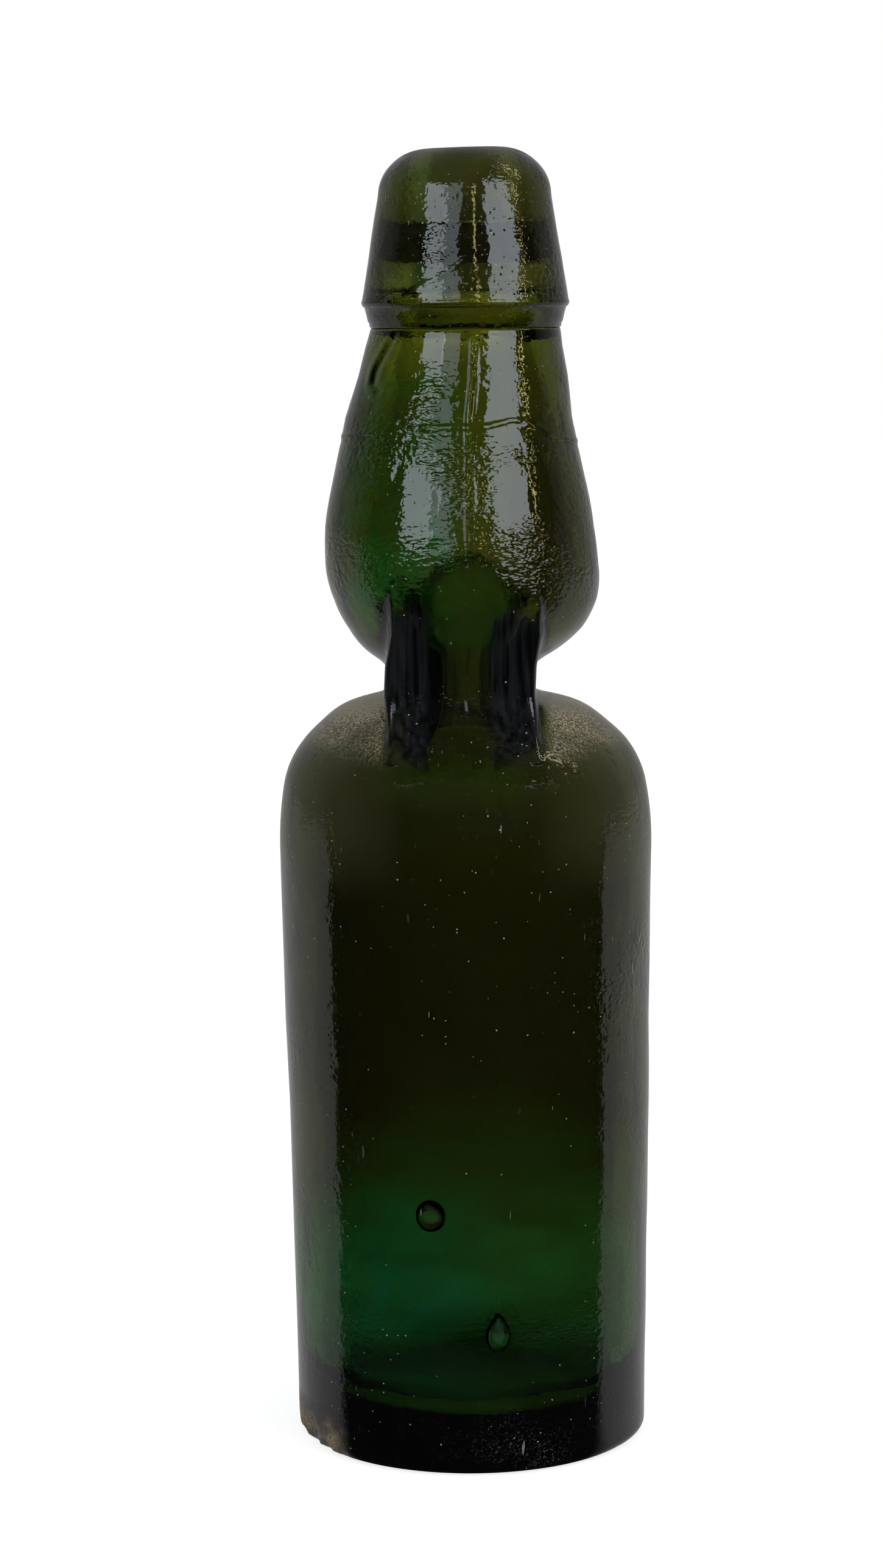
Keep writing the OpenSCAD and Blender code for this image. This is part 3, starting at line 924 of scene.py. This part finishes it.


# %% Masks of dust, and of painted sheen, reflection and shade
dirt_and_sheen, tree, output, place = start_material("dust_wear_and_painted_sheen")
x, y, height = axes_of(place)
upward = axes_of(add_node(tree, "NewGeometry").outputs["Normal"])[2]
sideways = away_from(x)
grain = clouds(place, 2600.0, 4.0, roughness=0.6)
cloud = clouds(place, 90.0, 4.0)
dust = times(mapped(upward, 0.45, 0.98), between(height, 0.117, 0.126, 0.134, 0.138),
             mapped(sideways, 0.0125, 0.0150), mapped(grain, 0.34, 0.66),
             mapped(cloud, 0.30, 0.60, 0.35, 1.0))
dust = mapped(dust, 0.0, 0.50)
# Painted sheen: a dim bluish sheen in streaks on the dark neck.
strand = clouds(stretched(place, (1, 1, 0.06)), 900.0, 3.0)
neck_sheen = times(between(height, 0.122, 0.127, 0.148, 0.151), mapped(sideways, 0.0150, 0.0142),
              mapped(away_from(x, SLOT_MIDDLE), 0.0048, 0.0064, 0.12, 1.0),
              mapped(strand, 0.38, 0.66, 0.03, 0.20))
# Painted reflection: a faint olive veil on the sides of the shoulder.
shoulder_reflection = times(between(height, 0.100, 0.112, 0.126, 0.136), mapped(sideways, 0.010, 0.022, 0.0, 0.15))
# Painted shade: a faint dark film that dims reflections on the shoulder's slope.
slope_shade = times(between(height, 0.107, 0.113, 0.140, 0.146), between(upward, 0.02, 0.10, 0.38, 0.55),
              mapped(cloud, 0.25, 0.55, 0.0, 0.03))
film_sheen_and_rubber_mottle = larger(neck_sheen, shoulder_reflection, slope_shade)

# %% Masks of specks, scratches and scuffs
wobble = add_node(tree, "TexNoise", {"Vector": place, "Scale": 2500.0, "Detail": 1.0}).outputs["Color"]
bent = add_node(tree, "VectorMath", {0: wobble, "Scale": 0.0003}, operation="SCALE").outputs[0]
ragged = add_node(tree, "VectorMath", {0: place, 1: bent}, operation="ADD").outputs[0]
specks = larger(scatter(ragged, 1500.0, 0.22, 0.05), scatter(ragged, 700.0, 0.15, 0.007))
by_bubbles = near_spots(place, [(5, -31, 25, 11), (-7, -31, 46, 7)])
specks = times(specks, mapped(by_bubbles, 0.0, 0.3, 1.0, 0.0))
hair = clouds(stretched(place, (1300, 1300, 220), (0.0, 0.5, 0.0)), 1.0, 1.0)
scratch = times(mapped(hair, 0.735, 0.76, 0.0, 0.6), mapped(cloud, 0.5, 0.6))
scuff = times(mapped(height, 0.016, 0.003, 0.0, 0.5), mapped(grain, 0.53, 0.66),
              mapped(cloud, 0.42, 0.66), mapped(grain, 0.3, 0.7, 0.3, 0.8))
pale = larger(specks, scratch, scuff)
scar = times(mapped(x, -0.0215, -0.0245), mapped(y, 0.002, -0.004),
             mapped(height, 0.0085, 0.0050), mapped(cloud, 0.36, 0.46, 0.0, 0.85))

# %% Lay the masks over each other on the film
# The base colour is the bluish grey of the painted sheen and shade, turned olive by the painted reflection.
colour = blend_colour(mapped(shoulder_reflection, 0.0, 0.05), (0.045, 0.048, 0.052), (0.13, 0.12, 0.055))
for mask, tone in ((dust, (0.34, 0.29, 0.20)), (pale, (0.42, 0.42, 0.38)), (scar, (0.34, 0.27, 0.17))):
    colour = blend_colour(mask, colour, tone)
cover = larger(times(dust, mapped(grain, 0.2, 0.8, 0.7, 1.0)), film_sheen_and_rubber_mottle,
               times(pale, mapped(cloud, 0.3, 0.7, 0.35, 0.85)),
               times(scar, mapped(grain, 0.40, 0.60, 0.35, 1.0)))
shade(output, "BsdfPrincipled", {"Base Color": colour, "Alpha": cover, "Metallic": 0.0, "Roughness": 0.75,
                                 "Specular IOR Level": 0.2})
for piece in (body_dust_and_sheen, lip_grime):
    piece.data.materials.append(dirt_and_sheen)

# %% [markdown]
# ## Marble glass and rubber
#
# The marble is clearer and paler than the bottle, with a faint swirl. The rubber has lost its gloss: it is
# charcoal, a little brown in patches, and cracked fine.

# %% Marble glass
marble_glass, tree, output, place = start_material("marble_glass")
swirl = clouds(place, 90.0, distortion=2.0)
colour = ramp(swirl, [(0.3, (0.86, 0.98, 0.88)), (0.7, (0.72, 0.92, 0.80))])
inputs = {"Base Color": colour, "Roughness": 0.03, "Normal": rippled(place, 0.02, 0.02)}
glass_shaders(output, inputs, (0.35, 0.7, 0.45), 60.0)
glass_marble.data.materials.append(marble_glass)

# %% Old rubber
old_rubber, tree, output, place = start_material("old_rubber")
film_sheen_and_rubber_mottle = clouds(place, 500.0, 4.0)
colour = ramp(film_sheen_and_rubber_mottle, [(0.35, (0.05, 0.048, 0.04)), (0.65, (0.12, 0.105, 0.08))])
crack = add_node(tree, "TexVoronoi", {"Vector": place, "Scale": 1400.0}, feature="DISTANCE_TO_EDGE")
shade(output, "BsdfPrincipled", {"Base Color": colour, "Metallic": 0.0,
                                 "Roughness": mapped(film_sheen_and_rubber_mottle, 0.3, 0.7, 0.55, 0.8),
                                 "Normal": bumped(crack.outputs["Distance"], 0.4, 0.0002)})
seal_ring.data.materials.append(old_rubber)

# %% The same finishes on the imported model's own nodes
for node, finish in (("bottle_body", body_glass), ("lip_collar", lip_glass), ("rubber_ring", old_rubber),
                     ("marble", marble_glass)):
    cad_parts[node].data.materials.clear()
    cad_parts[node].data.materials.append(finish)

# %% [markdown]
# ## Floor, room and lamps
#
# Dark glass shows the room more than itself. Behind the bottle is a pale backdrop, in front of it a dim
# room with windows. The camera, and the light that passes through the glass, see both as white. In
# reflections the floor is bright only behind a line that runs under the bottle's front, so the bottle's
# edges turn into crisp pale bands and its middle stays deep. Three large cool lamps are the panes of the
# windows, and three narrow warm ones give the gold flecks.

# %% Pale floor that keeps the shadow
floor_bm = bmesh.new()
bmesh.ops.create_circle(floor_bm, cap_ends=True, segments=96, radius=4.0)
bmesh.ops.translate(floor_bm, verts=floor_bm.verts, vec=(0, 0, -0.0002))
floor = linked_object(floor_bm, "floor")
material, tree, output, place = start_material("pale_floor")
rays = add_node(tree, "LightPath").outputs
straight = larger(rays["Is Camera Ray"], rays["Is Transmission Ray"])
x, y, _ = axes_of(place)
line = calc("MULTIPLY_ADD", away_from(x), -0.063, 0.0235)
behind = mapped(calc("ADD", y, line), -0.001, 0.004)
mirrored = times(rays["Is Glossy Ray"], times(behind, 0.40))
glow = larger(times(straight, 0.74), mirrored)
shine = add_node(tree, "Emission", {"Color": (1, 1, 1, 1), "Strength": glow}).outputs[0]
pale, dark = [add_node(tree, "BsdfDiffuse", {"Color": (grey, grey, grey, 1)}).outputs[0]
              for grey in (0.5, 0.04)]
only_glossy = add_node(tree, "Math", {0: rays["Is Glossy Ray"], 1: straight}, operation="SUBTRACT",
                       use_clamp=True).outputs[0]
plain = add_node(tree, "MixShader", {0: only_glossy, 1: pale, 2: dark}).outputs[0]
shade(output, "AddShader", {0: shine, 1: plain})
floor.data.materials.append(material)

# %% The room as a world
world = bpy.data.worlds.new("studio")
bpy.context.scene.world = world
world.use_nodes = True
tree = world.node_tree
tree.nodes.clear()
output = add_node(tree, "OutputWorld")
rays = add_node(tree, "LightPath").outputs
away_from_camera = axes_of(add_node(tree, "TexCoord").outputs["Generated"])[1]
backdrop = ramp(away_from_camera, [(0.05, 0.02), (0.07, 0.09), (0.5, 0.22), (1.0, 0.40)])
straight = larger(rays["Is Camera Ray"], rays["Is Transmission Ray"])
soft = add_node(tree, "Mix", {"Factor": rays["Is Glossy Ray"], "A": 0.55, "B": backdrop}).outputs["Result"]
final = add_node(tree, "Mix", {"Factor": straight, "A": soft, "B": 1.0}).outputs["Result"]
shade(output, "Background", {"Color": (1, 1, 1, 1), "Strength": final})

# %% Window panes and narrow warm lamps
TARGET = Vector((0, 0, 0.16))


def add_window(name, azimuth, elevation, distance, width, height, radiance, colour):
    """A flat lamp that faces the bottle. Azimuth is counted from the camera's side, plus to the right."""
    lamp = bpy.data.lights.new(name, "AREA")
    lamp.shape = "RECTANGLE"
    lamp.size, lamp.size_y = width, height
    lamp.energy = radiance * width * height * math.pi
    lamp.color = colour
    holder = bpy.data.objects.new(name, lamp)
    a, e = math.radians(azimuth), math.radians(elevation)
    way = Vector((math.sin(a) * math.cos(e), -math.cos(a) * math.cos(e), math.sin(e)))
    holder.location = TARGET + way * distance
    holder.rotation_euler = way.to_track_quat("Z", "Y").to_euler()
    holder.visible_camera = False
    holder.visible_transmission = False
    bpy.context.scene.collection.objects.link(holder)


add_window("window_left_outer", -38, 17, 1.3, 0.56, 0.60, 4.0, (0.82, 0.91, 1.0))
add_window("window_left_inner", -16, 17, 1.3, 0.45, 0.60, 1.8, (0.82, 0.91, 1.0))
add_window("window_right", 46.5, 17, 1.3, 0.82, 0.62, 4.0, (0.85, 0.92, 1.0))
add_window("warm_lamp_front", 14, 17, 1.5, 0.05, 0.45, 6.0, (1.0, 0.85, 0.35))
add_window("warm_lamp_side", 72, 12, 1.5, 0.05, 0.50, 7.0, (1.0, 0.85, 0.40))
add_window("warm_lamp_high", 90, 46, 1.0, 0.08, 0.50, 5.0, (1.0, 0.88, 0.60))

# %% [markdown]
# ## A black card for the reflections
#
# In a studio a black card keeps a window out of one part of a glossy thing. Here a curved card stands in
# front of the body, up to the middle of the chamber, so the shoulder doesn't show the windows. Only
# reflections see it: the camera, the soft light and the shadows pass through it.

# %% Curve a card round the front
CARD_RADIUS, CARD_TOP, CARD_FROM, CARD_SWEEP = 0.105, 0.167, 12, 156
card_bm = bmesh.new()
foot = card_bm.verts.new((-CARD_RADIUS, 0, 0.001))
top = card_bm.verts.new((-CARD_RADIUS, 0, CARD_TOP))
post = card_bm.edges.new((foot, top))
bmesh.ops.rotate(card_bm, verts=[foot, top], cent=(0, 0, 0),
                 matrix=Matrix.Rotation(math.radians(CARD_FROM), 3, "Z"))
bmesh.ops.spin(card_bm, geom=[foot, top, post], axis=(0, 0, 1), cent=(0, 0, 0),
               angle=math.radians(CARD_SWEEP), steps=48)
card = linked_object(card_bm, "black_card")
card.visible_camera = card.visible_diffuse = card.visible_shadow = card.visible_transmission = False
material, tree, output, place = start_material("black_felt")
fluff = ramp(clouds(place, 800.0), [(0.3, 0.010), (0.7, 0.02)])
shade(output, "BsdfDiffuse", {"Color": fluff})
card.data.materials.append(material)

# %% [markdown]
# ## Camera
#
# The camera stands where the photograph was taken: 640 mm in front of the axis and 205 mm up, tipped down by
# 7.83 degrees, turned a little to the left and rolled by less than half a degree.

# %% Set the camera
LENS, SENSOR = 83.49, 36.0
CAMERA_PLACE = Vector((0, -0.640, 0.205))
PITCH, YAW, ROLL = 7.83, 0.427, -0.43
lens = bpy.data.cameras.new("camera")
lens.lens, lens.sensor_width = LENS, SENSOR
lens.clip_start, lens.clip_end = 0.01, 50
camera = bpy.data.objects.new("camera", lens)
turn = (Matrix.Rotation(math.radians(YAW), 4, "Z") @ Matrix.Rotation(math.radians(90 - PITCH), 4, "X")
        @ Matrix.Rotation(math.radians(ROLL), 4, "Z"))
camera.matrix_world = Matrix.Translation(CAMERA_PLACE) @ turn
bpy.context.scene.collection.objects.link(camera)
bpy.context.scene.camera = camera
bpy.context.scene.view_settings.view_transform = "Standard"
